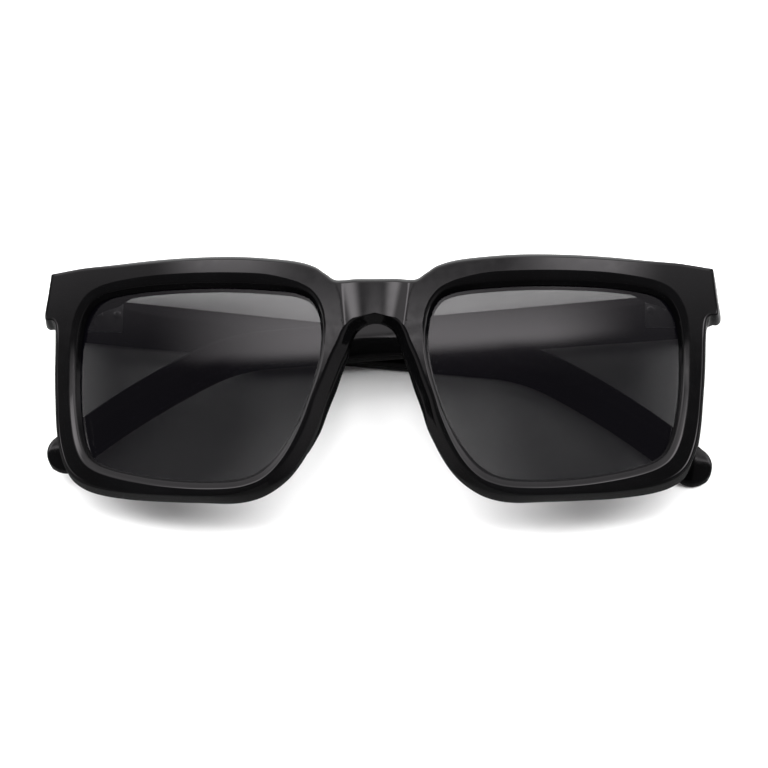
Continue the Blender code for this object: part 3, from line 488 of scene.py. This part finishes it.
def front_profile(row, inner_normal, outer_normal):
    """The rim's closed section at one station: its points, and the wall's first and last place."""
    inner = Vector((row.inner_x, row.inner_y))
    outer = Vector((row.outer_x, row.outer_y))
    ridge = inner + inner_normal * row.bevel
    rounding = edge_rounding(outer_normal, row.end_share)
    face_edge = outer - outer_normal * rounding
    lip = face_height(inner.x) - BEVEL_DEPTH
    groove_back = lip - LENS_THICKNESS - 2.0 * LENS_CLEARANCE
    rim_back = face_height(inner.x) - RIM_DEPTH
    outer_rim_back = face_height(outer.x) - RIM_DEPTH
    back = between(outer_rim_back, -END_BACK_DEPTH, row.end_share)
    land = inner + inner_normal * LAND_WIDTH
    land_rim_back = face_height(land.x) - RIM_DEPTH
    land_back = between(land_rim_back, -END_BACK_DEPTH, row.end_share)
    wall_back = outer + outer_normal * row.flare
    back_edge = wall_back - outer_normal * BACK_ROUNDING
    groove = inner + inner_normal * GROOVE_DEPTH

    lip_point = raised(inner, lip)
    ridge_point = raised(ridge, face_height(ridge.x))
    knee_place = inner + inner_normal * row.bevel * KNEE_WIDTH_SHARE
    knee = raised(knee_place, lip + BEVEL_DEPTH * KNEE_DEPTH_SHARE)
    slope = ridge_point - knee
    taken = min(RIDGE_ROUNDING, RIDGE_BEVEL_SHARE * slope.length)
    bevel_end = ridge_point - slope.normalized() * taken
    ridge_share = min(RIDGE_FACE_SHARE, RIDGE_ROUNDING / (face_edge - ridge).length)
    ridge_end = between(ridge, face_edge, ridge_share)

    points = [lip_point]
    low_knee = between(lip_point, knee, KNEE_START_SHARE)
    high_knee = between(knee, bevel_end, KNEE_END_SHARE)
    points += [between(lip_point, low_knee, share) for share in (0.5, 1.0)]
    points += curve_through(low_knee, knee, high_knee, BEVEL_COLUMNS)
    points += [between(high_knee, bevel_end, share) for share in (0.5, 1.0)]
    face_start = raised(ridge_end, face_height(ridge_end.x))
    points += curve_through(bevel_end, ridge_point, face_start, RIDGE_STEPS)
    for step in range(1, FACE_COLUMNS + 1):
        place = between(ridge_end, face_edge, step / FACE_COLUMNS)
        points.append(raised(place, surface_height(place)))
    wall_first = len(points) - 1
    wall_low = back + BACK_ROUNDING
    edge = points[-1]
    for across, down in edge_curve(rounding, outer_normal, row):
        points.append(edge + raised(outer_normal * across, -down))
    points.append(between(points[-1], raised(wall_back, wall_low), 0.5))
    points.append(raised(wall_back, wall_low))
    wall_end = raised(back_edge, back)
    points += curve_through(points[-1], raised(wall_back, back), wall_end, BACK_STEPS)
    wall_last = len(points) - 1
    points += [
        raised(land, land_back),
        raised(land - inner_normal * 0.5 * (LAND_WIDTH - GROOVE_DEPTH), rim_back),
        raised(inner, rim_back + 0.5 * BACK_ROUNDING),
        raised(inner, groove_back),
        raised(groove, groove_back),
        raised(groove, lip),
    ]
    return points, wall_first, wall_last


def build_front():
    """The whole front: one half as a ring of sections round its lens, then its mirror image."""
    stations = resample(station_points(), RIM_STEPS)
    count = len(stations)
    middle = {index for index in range(count) if stations[index].outer_x == 0.0}
    arch = min(index for index in middle if index > 0)
    inner_normals = outward_normals([(row.inner_x, row.inner_y) for row in stations])
    ends = ((0, 1.0), (arch, -1.0))
    outer_normals = outward_normals([(row.outer_x, row.outer_y) for row in stations], ends)
    inside = middle - {0, arch}
    lowest = stations[arch].outer_y + EDGE_BOTTOM_ROUNDING
    highest = stations[0].outer_y - EDGE_TOP_ROUNDING
    for index in inside:
        height = between(lowest, highest, (index - arch) / (count - arch))
        stations[index] = stations[index]._replace(outer_y=height)
    mesh = bmesh.new()
    grids = []
    for side in (1.0, -1.0):
        grid = []
        for index, row in enumerate(stations):
            normal = Vector((0.0, 0.0)) if index in inside else outer_normals[index]
            points, wall_first, wall_last = front_profile(row, inner_normals[index], normal)
            column = []
            for place, point in enumerate(points):
                if index in inside and wall_first < place < wall_last:
                    column.append(None)
                elif abs(point.x) < MIDDLE_TOLERANCE and side < 0.0:
                    column.append(grids[0][index][place])
                else:
                    column.append(mesh.verts.new((side * point.x, point.y, point.z)))
            grid.append(column)
        grids.append(grid)
        width = len(grid[0])
        for index in range(count):
            after = (index + 1) % count
            in_middle = index in middle and after in middle
            for place in range(width):
                if in_middle and wall_first <= place < wall_last:
                    continue
                beyond = (place + 1) % width
                corners = [grid[index][place], grid[after][place]]
                corners += [grid[after][beyond], grid[index][beyond]]
                mesh.faces.new(corners if side > 0.0 else corners[::-1])
    bmesh.ops.recalc_face_normals(mesh, faces=mesh.faces)
    return mesh


def build_lens():
    """A lens: two curved faces in rings about its centre, closed by its edge."""
    rows = resample(station_points(), RIM_STEPS)
    points = [(row.inner_x, row.inner_y) for row in rows]
    normals = outward_normals(points)
    spread = GROOVE_DEPTH - LENS_CLEARANCE
    outline = [Vector(point) + normal * spread for point, normal in zip(points, normals)]
    centre = lens_middle()
    mesh = bmesh.new()
    top = -BEVEL_DEPTH - LENS_CLEARANCE
    faces = []
    for depth in (top, top - LENS_THICKNESS):
        rings = []
        for step in range(LENS_RINGS):
            share = 1.0 - step / LENS_RINGS
            ring = []
            for point in outline:
                place = between(centre, point, share)
                ring.append(mesh.verts.new(raised(place, face_height(place.x) + depth)))
            rings.append(ring)
        hub = mesh.verts.new(raised(centre, face_height(centre.x) + depth))
        faces.append((rings, hub))
    count = len(outline)
    for rings, hub in faces:
        for wide, narrow in zip(rings, rings[1:]):
            for index in range(count):
                after = (index + 1) % count
                mesh.faces.new((wide[index], wide[after], narrow[after], narrow[index]))
        for index in range(count):
            mesh.faces.new((rings[-1][index], rings[-1][(index + 1) % count], hub))
    front_rim, back_rim = faces[0][0][0], faces[1][0][0]
    for index in range(count):
        after = (index + 1) % count
        mesh.faces.new((front_rim[index], front_rim[after], back_rim[after], back_rim[index]))
    bmesh.ops.recalc_face_normals(mesh, faces=mesh.faces)
    return mesh


def close_loft(sections):
    """Joins equal closed sections into one solid with flat or rounded ends."""
    mesh = bmesh.new()
    loops = [[mesh.verts.new(point) for point in section] for section in sections]
    count = len(loops[0])
    for here, there in zip(loops, loops[1:]):
        for index in range(count):
            after = (index + 1) % count
            mesh.faces.new((here[index], here[after], there[after], there[index]))
    mesh.faces.new(loops[0])
    mesh.faces.new(loops[-1])
    bmesh.ops.recalc_face_normals(mesh, faces=mesh.faces)
    return mesh


def build_nose_pad():
    """A pad on the back of the rim's nose side, rounded towards the nose."""
    rows = resample(station_points(), RIM_STEPS)
    normals = outward_normals([(row.outer_x, row.outer_y) for row in rows])
    sizes = len(PAD_SIZE_SHARES)
    sections = []
    for step in range((sizes - 1) * RIM_STEPS + 1):
        place = step / RIM_STEPS
        low = min(sizes - 2, int(place))
        size = between(PAD_SIZE_SHARES[low], PAD_SIZE_SHARES[low + 1], place - low)
        row = rows[PAD_FIRST_STATION * RIM_STEPS + step]
        normal = normals[PAD_FIRST_STATION * RIM_STEPS + step]
        edge = Vector((row.outer_x, row.outer_y)) + normal * (row.flare - BACK_ROUNDING)
        seat = face_height(row.outer_x) - RIM_DEPTH - PAD_CLEARANCE
        reach = normal * (PAD_REACH + BACK_ROUNDING) * size
        lap = normal * PAD_LAP
        depth = PAD_DEPTH * size
        start = raised(edge, seat)
        nose = raised(edge + reach, seat - PAD_NOSE_DEPTH_SHARE * depth)
        corner = raised(edge + reach * PAD_HEEL_REACH_SHARE, seat - depth)
        heel = raised(edge - lap * PAD_HEEL_LAP_SHARE, seat - depth)
        toe = raised(edge - lap, seat)
        section = [start]
        section += curve_through(start, raised(edge + reach, seat), nose, PAD_NOSE_STEPS)
        section += curve_through(nose, corner, heel, PAD_HEEL_STEPS)
        section += curve_through(heel, raised(edge - lap, seat - depth), toe, PAD_HEEL_STEPS)
        sections.append(section)
    return close_loft(sections)


def arc_step(turned, radius, angle):
    """The step along an arc that starts at a downward angle and turns further down by turned."""
    across = radius * (math.sin(angle + turned) - math.sin(angle))
    down = radius * (math.cos(angle) - math.cos(angle + turned))
    return Vector((across, -down))


def temple_length():
    return TEMPLE_STRAIGHT + TEMPLE_BEND_RADIUS * TEMPLE_BEND_ANGLE + TEMPLE_TIP_LENGTH


def temple_axes(along):
    """Centre of the temple and unit vector up its section at a distance from its hinge."""
    bend_run = TEMPLE_BEND_RADIUS * TEMPLE_BEND_ANGLE
    tip_radius = TEMPLE_TIP_LENGTH / TEMPLE_TIP_CURL
    drop = TEMPLE_DROP_ANGLE
    straight = min(along, TEMPLE_STRAIGHT)
    bent = min(max(0.0, along - TEMPLE_STRAIGHT), bend_run) / TEMPLE_BEND_RADIUS
    curled = max(0.0, along - TEMPLE_STRAIGHT - bend_run) / tip_radius
    centre = Vector((straight * math.cos(drop), -straight * math.sin(drop)))
    centre += arc_step(bent, TEMPLE_BEND_RADIUS, drop)
    centre += arc_step(curled, tip_radius, drop + bent)
    lean = (drop + bent + curled) * min(1.0, max(0.0, along) / TEMPLE_STRAIGHT)
    return centre, Vector((math.sin(lean), math.cos(lean)))


def temple_size(along):
    """Height and thickness of the temple at a distance from its hinge."""
    length = temple_length()
    reached = max(0.0, along)
    thickness = between(TEMPLE_ROOT_THICKNESS, TEMPLE_TIP_THICKNESS, reached / length)
    if reached < TEMPLE_STRAIGHT:
        root_share = reached / TEMPLE_STRAIGHT
        return between(TEMPLE_ROOT_HEIGHT, TEMPLE_WAIST_HEIGHT, root_share), thickness
    tip_share = (reached - TEMPLE_STRAIGHT) / (length - TEMPLE_STRAIGHT)
    return between(TEMPLE_WAIST_HEIGHT, TEMPLE_TIP_HEIGHT, tip_share), thickness


def temple_section(along, shrink):
    """The rounded section of the folded temple: x away from the hinge, y up, z towards the lens."""
    centre, up = temple_axes(along)
    height, thickness = temple_size(along)
    middle = -TEMPLE_OFFSET - TEMPLE_ROOT_THICKNESS + 0.5 * thickness
    half_height = 0.5 * height * shrink
    half_thickness = 0.5 * thickness
    corner = min(TEMPLE_CORNER, 0.8 * half_height)
    points = []
    for quarter in range(4):
        sign_y = 1.0 if quarter in (0, 1) else -1.0
        sign_z = 1.0 if quarter in (0, 3) else -1.0
        for step in range(TEMPLE_CORNER_STEPS + 1):
            turn = 0.5 * math.pi * (quarter + step / TEMPLE_CORNER_STEPS)
            y = sign_y * (half_height - corner) + corner * math.sin(turn)
            z = sign_z * (half_thickness - corner) + corner * math.cos(turn)
            place = centre + up * y
            points.append((place.x, place.y, middle + z))
    return points


def build_temple(left):
    """A temple in the frame of its hinge; the left one runs the other way."""
    length = temple_length()
    tip = 0.5 * TEMPLE_TIP_HEIGHT
    body = length - tip + TEMPLE_ROOT_REACH
    places = [-TEMPLE_ROOT_REACH + body * step / TEMPLE_STEPS for step in range(TEMPLE_STEPS + 1)]
    stations = [(along, 1.0) for along in places]
    for step in range(1, TEMPLE_END_STEPS + 1):
        turn = TEMPLE_END_TURN * step / TEMPLE_END_STEPS
        stations.append((length - tip + tip * math.sin(turn), math.cos(turn)))
    mesh = close_loft([temple_section(along, share) for along, share in stations])
    if left:
        bmesh.ops.transform(mesh, matrix=Matrix.Diagonal((-1.0, 1.0, 1.0, 1.0)), verts=mesh.verts)
        bmesh.ops.reverse_faces(mesh, faces=mesh.faces)
    return mesh


def hinge_points():
    """Places of the two hinge axes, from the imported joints."""
    places = {joint["name"]: Vector(joint["pos_m"]) for joint in frame["joints"]}
    return places["temple_left_hinge"], places["temple_right_hinge"]


def front_placement():
    """From the front's own frame to the scene's, worked out from the two hinge axes."""
    left, right = hinge_points()
    across = (left - right).normalized()
    up = Vector((0.0, 1.0, 0.0))
    out = across.cross(up)
    hinge_height = LENS_CENTRE_HEIGHT + 0.5 * LENS_HEIGHT + HINGE_ABOVE_LENS
    origin = 0.5 * (left + right) - up * hinge_height + out * (END_BACK_DEPTH + HINGE_SETBACK)
    turn = Matrix((across, up, out)).transposed().to_4x4()
    return Matrix.Translation(origin) @ turn


def temple_placement(left):
    """From a folded temple's own frame to the scene's."""
    place = hinge_points()[0 if left else 1]
    angle = LEFT_FOLD_ANGLE - RIGHT_FOLD_ANGLE if left else 0.0
    return Matrix.Translation(place) @ Matrix.Rotation(angle, 4, "Y")


def moved(mesh, matrix, mirror=False):
    """The mesh set in the scene's frame, or its mirror image for the other side."""
    if mirror:
        bmesh.ops.transform(mesh, matrix=Matrix.Diagonal((-1.0, 1.0, 1.0, 1.0)), verts=mesh.verts)
        bmesh.ops.reverse_faces(mesh, faces=mesh.faces)
    bmesh.ops.transform(mesh, matrix=matrix, verts=mesh.verts)
    return mesh


def node_material(name):
    material = bpy.data.materials.new(name)
    material.use_nodes = True
    tree = material.node_tree
    return material, tree, tree.nodes["Principled BSDF"]


def add_node(tree, kind, **inputs):
    node = tree.nodes.new(kind)
    for key, value in inputs.items():
        node.inputs[key].default_value = value
    return node


def ramp(tree, source, stops):
    """A colour ramp through (position, colour) stops."""
    node = tree.nodes.new("ShaderNodeValToRGB")
    while len(node.color_ramp.elements) < len(stops):
        node.color_ramp.elements.new(0.5)
    for element, (position, colour) in zip(node.color_ramp.elements, stops):
        element.position = position
        element.color = (*colour, 1.0)
    tree.links.new(source, node.inputs["Fac"])
    return node.outputs["Color"]


def calculate(tree, operation, *values):
    """The result of a Math node on numbers or other nodes' results."""
    node = tree.nodes.new("ShaderNodeMath")
    node.operation = operation
    for socket, value in zip(node.inputs, values):
        if isinstance(value, (int, float)):
            socket.default_value = value
        else:
            tree.links.new(value, socket)
    return node.outputs[0]


def rise(tree, value, start, end):
    """Zero below start, one above end and smooth between them; falls if start is above end."""
    node = tree.nodes.new("ShaderNodeMapRange")
    node.interpolation_type = "SMOOTHSTEP"
    node.inputs["From Min"].default_value = min(start, end)
    node.inputs["From Max"].default_value = max(start, end)
    node.inputs["To Min"].default_value = 0.0 if start < end else 1.0
    node.inputs["To Max"].default_value = 1.0 if start < end else 0.0
    tree.links.new(value, node.inputs["Value"])
    return node.outputs["Result"]


def rises(tree, value, edges):
    return [rise(tree, value, *edge) for edge in edges]


def product(tree, first, *others):
    for other in others:
        first = calculate(tree, "MULTIPLY", first, other)
    return first


def total(tree, first, *others):
    for other in others:
        first = calculate(tree, "ADD", first, other)
    return first


def grain(tree, scale, detail):
    """A noise fixed to the object, fine by its scale."""
    place = tree.nodes.new("ShaderNodeTexCoord")
    noise = add_node(tree, "ShaderNodeTexNoise", Scale=scale, Detail=detail)
    tree.links.new(place.outputs["Object"], noise.inputs["Vector"])
    return noise.outputs["Fac"]


def polished_plastic(name):
    """Black injection-moulded plastic, polished, with faint haze and fine rubbing marks."""
    material, tree, shader = node_material(name)
    colour = ramp(tree, grain(tree, *PLASTIC_HAZE), PLASTIC_COLOURS)
    rough = ramp(tree, grain(tree, *PLASTIC_RUBBING), PLASTIC_ROUGHNESS)
    tree.links.new(colour, shader.inputs["Base Color"])
    tree.links.new(rough, shader.inputs["Roughness"])
    shader.inputs["IOR"].default_value = PLASTIC_IOR
    return material


def tinted_lens(name):
    """A dark grey lens that lets about a twelfth of the light through its two faces."""
    material, tree, shader = node_material(name)
    colour = ramp(tree, grain(tree, *LENS_CLOUD), LENS_COLOURS)
    tree.links.new(colour, shader.inputs["Base Color"])
    shader.inputs["Roughness"].default_value = LENS_ROUGHNESS
    shader.inputs["IOR"].default_value = LENS_IOR
    shader.inputs["Alpha"].default_value = LENS_ALPHA
    shader.inputs["Specular IOR Level"].default_value = LENS_GLOSS
    return material


def satin_steel(name):
    """Stamped and tumbled steel with a fine grain."""
    material, tree, shader = node_material(name)
    tumbled = grain(tree, *STEEL_GRAIN)
    tree.links.new(ramp(tree, tumbled, STEEL_COLOURS), shader.inputs["Base Color"])
    tree.links.new(ramp(tree, tumbled, STEEL_ROUGHNESS), shader.inputs["Roughness"])
    shader.inputs["Metallic"].default_value = STEEL_METALLIC
    return material


def floor_material():
    """Pale matt paper, faintly mottled; in the gloss, painted shade darkens it, most on the chin
    side.
    """
    material, tree, shader = node_material("pale_paper")
    colour = ramp(tree, grain(tree, *PAPER_MOTTLE), PAPER_COLOURS)
    place = tree.nodes.new("ShaderNodeTexCoord")
    split = tree.nodes.new("ShaderNodeSeparateXYZ")
    tree.links.new(place.outputs["Object"], split.inputs["Vector"])
    ray = tree.nodes.new("ShaderNodeLightPath")
    # Painted shade: glossy rays see the paper's colour blended towards black, most on the chin
    # side.
    chin_side = rise(tree, split.outputs["Y"], *FLOOR_CHANGE)
    near = product(tree, chin_side, BROW_FLOOR - CHIN_FLOOR)
    kept = calculate(tree, "SUBTRACT", BROW_FLOOR, near)
    gloss_painted_shade = product(tree, ray.outputs["Is Glossy Ray"], calculate(tree, "SUBTRACT", 1.0, kept))
    seen = tree.nodes.new("ShaderNodeMix")
    seen.data_type = "RGBA"  # its sockets 6 and 7 are the two colours
    seen.inputs[7].default_value = (0.0, 0.0, 0.0, 1.0)
    tree.links.new(gloss_painted_shade, seen.inputs[0])
    tree.links.new(colour, seen.inputs[6])
    tree.links.new(seen.outputs[2], shader.inputs["Base Color"])
    shader.inputs["Roughness"].default_value = PAPER_ROUGHNESS
    shader.inputs["Specular IOR Level"].default_value = 0.0
    return material


def build_floor():
    mesh = bmesh.new()
    bmesh.ops.create_grid(mesh, x_segments=1, y_segments=1, size=FLOOR_HALF_SIZE)
    data = bpy.data.meshes.new("floor")
    mesh.to_mesh(data)
    mesh.free()
    floor = bpy.data.objects.new("floor", data)
    bpy.context.scene.collection.objects.link(floor)
    data.materials.append(floor_material())


def camera_axes(placement):
    """The camera's right, up and back directions in the scene's frame."""
    tilt, yaw, roll = CAMERA_TILT, CAMERA_YAW, CAMERA_ROLL
    back = Vector((
        math.cos(tilt) * math.sin(yaw), -math.sin(tilt), math.cos(tilt) * math.cos(yaw),
    ))
    level = Vector((math.cos(yaw), 0.0, -math.sin(yaw)))
    upright = back.cross(level)
    right = level * math.cos(roll) + upright * math.sin(roll)
    up = upright * math.cos(roll) - level * math.sin(roll)
    turn = placement.to_3x3()
    return turn @ right, turn @ up, turn @ back


def place_camera(placement):
    data = bpy.data.cameras.new("camera")
    data.sensor_width = CAMERA_SENSOR
    data.lens = CAMERA_LENS
    camera = bpy.data.objects.new("camera", data)
    bpy.context.scene.collection.objects.link(camera)
    right, up, back = camera_axes(placement)
    target = placement.translation + right * CAMERA_AIM
    turn = Matrix((right, up, back)).transposed().to_4x4()
    camera.matrix_world = Matrix.Translation(target + back * CAMERA_DISTANCE) @ turn
    bpy.context.scene.camera = camera


def soft_lamp(name, across, lean, spread, light):
    """A soft far light that the gloss doesn't see, tilted sideways and to the brow from above."""
    data = bpy.data.lights.new(name, "SUN")
    data.angle = math.radians(spread)
    data.energy = light
    lamp = bpy.data.objects.new(name, data)
    bpy.context.scene.collection.objects.link(lamp)
    across = math.radians(across)
    lean = math.radians(lean)
    towards = Vector((
        math.sin(across), math.cos(across) * math.sin(lean), math.cos(across) * math.cos(lean),
    ))
    lamp.rotation_euler = towards.to_track_quat("Z", "Y").to_euler()
    lamp.visible_glossy = False


def softboxes():
    """A wide soft light overhead, as a row of lamps, and one from the brow side."""
    for number, across in enumerate(TOP_PLACES):
        soft_lamp(f"overhead_{number}", across, TOP_LEAN, TOP_SPREAD, TOP_LIGHT)
    soft_lamp("brow_side", 0.0, BROW_LEAN, BROW_SPREAD, BROW_LIGHT)


def studio_world():
    """A white tent: plain soft light, and in the gloss a dim room with a few soft panels."""
    world = bpy.data.worlds.new("studio")
    bpy.context.scene.world = world
    world.use_nodes = True
    tree = world.node_tree
    place = tree.nodes.new("ShaderNodeTexCoord")
    split = tree.nodes.new("ShaderNodeSeparateXYZ")
    tree.links.new(place.outputs["Generated"], split.inputs["Vector"])
    x, y, z = (split.outputs[axis] for axis in "XYZ")
    across = calculate(tree, "DEGREES", calculate(tree, "ARCTAN2", x, z))
    above = calculate(tree, "DEGREES", calculate(tree, "ARCSINE", y))
    aside = calculate(tree, "ABSOLUTE", calculate(tree, "ADD", across, LIGHT_LEAN))
    from_top = calculate(tree, "DEGREES", calculate(tree, "ARCCOSINE", z))

    slant = calculate(tree, "MULTIPLY", across, PANEL_SLANT)
    slanting = calculate(tree, "SUBTRACT", above, slant)
    panel = product(
        tree,
        *rises(tree, across, PANEL_ACROSS),
        rise(tree, slanting, *PANEL_LOWER_EDGE),
        rise(tree, above, *PANEL_UPPER_EDGE),
        PANEL_LIGHT,
    )
    strips = product(
        tree,
        *rises(tree, aside, STRIPS_ASIDE),
        *rises(tree, above, STRIPS_ABOVE),
        STRIP_LIGHT,
    )
    glow = product(tree, *rises(tree, above, GLOW_ABOVE), GLOW_LIGHT)
    haze = product(tree, rise(tree, above, *HAZE_ABOVE), HAZE_LIGHT)
    below_top = rise(tree, from_top, *ROOM_FROM_TOP)
    room = product(tree, below_top, rise(tree, above, *ROOM_ABOVE), ROOM_LIGHT)
    gloss = total(tree, panel, strips, glow, haze, room, BASE_LIGHT)
    ray = tree.nodes.new("ShaderNodeLightPath")
    seen = tree.nodes.new("ShaderNodeMix")
    tree.links.new(ray.outputs["Is Camera Ray"], seen.inputs[0])
    seen.inputs[2].default_value = DOME_LIGHT
    seen.inputs[3].default_value = WHITE_LIGHT
    lit = tree.nodes.new("ShaderNodeMix")
    tree.links.new(ray.outputs["Is Glossy Ray"], lit.inputs[0])
    tree.links.new(seen.outputs[0], lit.inputs[2])
    tree.links.new(gloss, lit.inputs[3])
    background = tree.nodes["Background"]
    tree.links.new(lit.outputs[0], background.inputs["Strength"])
    background.inputs["Color"].default_value = STUDIO_TINT
    bpy.context.scene.view_settings.view_transform = "Standard"


def dress_front(placement):
    plastic = polished_plastic("front_plastic")
    front = moved(build_front(), placement)
    new_piece("rim_and_bridge", front, plastic, "front", ("front_frame",))
    glass = tinted_lens("lens_tint")
    pad_plastic = polished_plastic("pad_plastic")
    for side in ("left", "right"):
        mirror = side == "right"
        lens = moved(build_lens(), placement, mirror)
        new_piece(f"tinted_lens_{side}", lens, glass, "front", (f"lens_{side}",))
        pad = moved(build_nose_pad(), placement, mirror)
        new_piece(f"pad_{side}", pad, pad_plastic, "front", (f"nose_pad_{side}",))


def dress_temples():
    plastic = polished_plastic("temple_plastic")
    for side in ("left", "right"):
        left = side == "left"
        temple = moved(build_temple(left), temple_placement(left))
        body = f"temple_{side}"
        node = f"temple_{side}"
        new_piece(f"temple_arm_{side}", temple, plastic, body, (node,))


def dress_metal():
    steel = satin_steel("hinge_steel")
    for name, node in frame["nodes"].items():
        if "hinge" in name or "rivet" in name or "core" in name:
            for slot in node.material_slots:
                slot.material = steel


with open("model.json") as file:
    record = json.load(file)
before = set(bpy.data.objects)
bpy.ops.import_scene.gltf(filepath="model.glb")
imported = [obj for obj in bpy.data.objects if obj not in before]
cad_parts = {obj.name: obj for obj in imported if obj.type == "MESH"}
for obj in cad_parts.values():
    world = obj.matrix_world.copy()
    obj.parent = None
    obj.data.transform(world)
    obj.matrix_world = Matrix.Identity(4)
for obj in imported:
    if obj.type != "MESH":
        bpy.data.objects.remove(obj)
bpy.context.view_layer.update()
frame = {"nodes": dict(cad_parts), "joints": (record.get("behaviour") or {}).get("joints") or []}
placement = front_placement()
dress_front(placement)
dress_temples()
dress_metal()
build_floor()
place_camera(placement)
softboxes()
studio_world()
